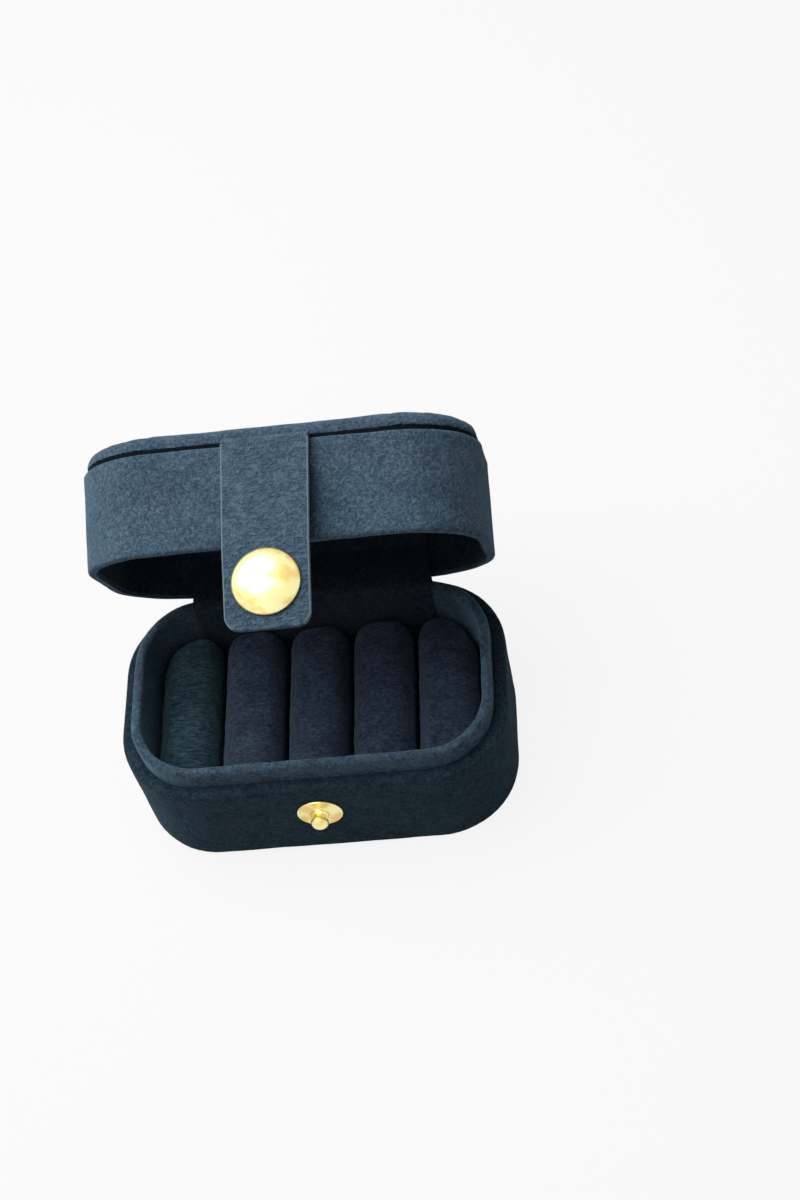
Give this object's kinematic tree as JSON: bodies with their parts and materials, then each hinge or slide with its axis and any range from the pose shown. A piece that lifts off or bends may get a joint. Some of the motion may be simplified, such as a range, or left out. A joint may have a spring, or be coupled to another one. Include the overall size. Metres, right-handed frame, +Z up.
{
  "type": "travel ring box",
  "caption": "Small suede travel ring box with a hinged padded lid, a snap strap and padded ring rolls in the base.",
  "frame": {"origin": "centre of the underside, on the flat panel that the box stands on", "axes": "+X to the right, +Y to the hinge at the back, +Z up; the strap and stud are at the front, -Y"},
  "size_m": [0.092, 0.0852, 0.0916],
  "materials": {
    "suede": "napped microsuede, dark slate blue, matt with a faint sheen",
    "strap_suede": "creased microsuede strap, dark slate blue, lighter cut edges",
    "roll_suede": "napped suede, very dark violet blue",
    "lining_suede": "napped suede lining, near black",
    "foam": "soft open foam",
    "shell": "moulded shell, matt",
    "board": "grey bookbinding board",
    "gold_metal": "polished pale gold plating",
    "spring_wire": "drawn wire"
  },
  "bodies": {
    "base": {"base_frame": "shell", "base_side_cover": "suede", "base_bottom_board": "board", "underside_panel": "suede", "collar_core": "board", "collar_cover": "suede", "tray_underlay": "foam", "tray_floor": "board", "roll_foam_1": "foam", "roll_foam_2": "foam", "roll_foam_3": "foam", "roll_foam_4": "foam", "roll_foam_5": "foam", "roll_cover_1": "roll_suede", "roll_cover_2": "roll_suede", "roll_cover_3": "roll_suede", "roll_cover_4": "roll_suede", "roll_cover_5": "roll_suede", "snap_stud": "gold_metal", "stud_rivet": "gold_metal", "hinge_outer_strip": "suede", "hinge_inner_strip": "lining_suede"},
    "lid": {"lid_frame": "shell", "lid_side_cover": "suede", "lid_top_board": "board", "lid_top_padding": "foam", "lid_top_cover": "suede", "lid_lining": "lining_suede", "lid_ceiling_board": "board", "lid_ceiling_pad": "lining_suede", "strap_root": "strap_suede"},
    "strap": {"strap_face": "strap_suede", "strap_backing": "strap_suede", "snap_cap": "gold_metal", "cap_post": "gold_metal", "snap_socket": "gold_metal", "socket_spring": "spring_wire"}
  },
  "joints": [
    {"name": "lid_hinge", "type": "hinge", "parent": "base", "child": "lid", "pos_m": [0, 0.02815, 0.02915], "axis": [-1, 0, 0], "range_deg": [-66, 39], "deforming": ["hinge_outer_strip", "hinge_inner_strip"]},
    {"name": "strap_hinge", "type": "hinge", "parent": "lid", "child": "strap", "pos_m": [0, 0.02655, 0.09089], "axis": [-1, 0, 0], "range_deg": [-7, 110]}
  ]
}
